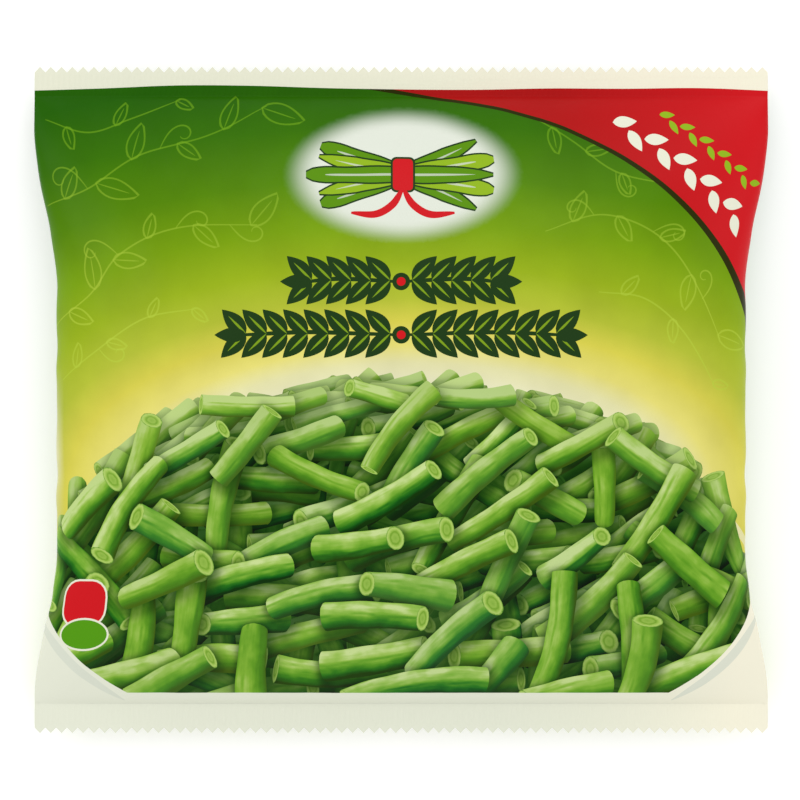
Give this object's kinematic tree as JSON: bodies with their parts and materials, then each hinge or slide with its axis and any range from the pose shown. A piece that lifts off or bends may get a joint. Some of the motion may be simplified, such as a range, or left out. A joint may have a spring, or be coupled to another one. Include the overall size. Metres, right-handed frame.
{
  "type": "frozen green bean bag",
  "caption": "Sealed pillow bag of frozen cut green beans, lying on its back: printed film with zigzag cross seals and a fin down the back, round a bed of loose cut pods.",
  "frame": {"origin": "under the middle of the bag, on the surface that it lies on", "axes": "+X to the right along the zigzag seals as the printed front is read, +Y up the printed front towards the top seal, +Z out of the printed front"},
  "size_m": [0.22, 0.2, 0.044],
  "materials": {
    "printed_film": "glossy printed polyethylene film, green shading to yellow and cream, with plain off-white seals",
    "bean_green": "satin skin of a blanched green pod, with paler cut ends"
  },
  "bodies": {
    "root": {"film": "printed_film", "bean_pieces": "bean_green"}
  },
  "joints": []
}
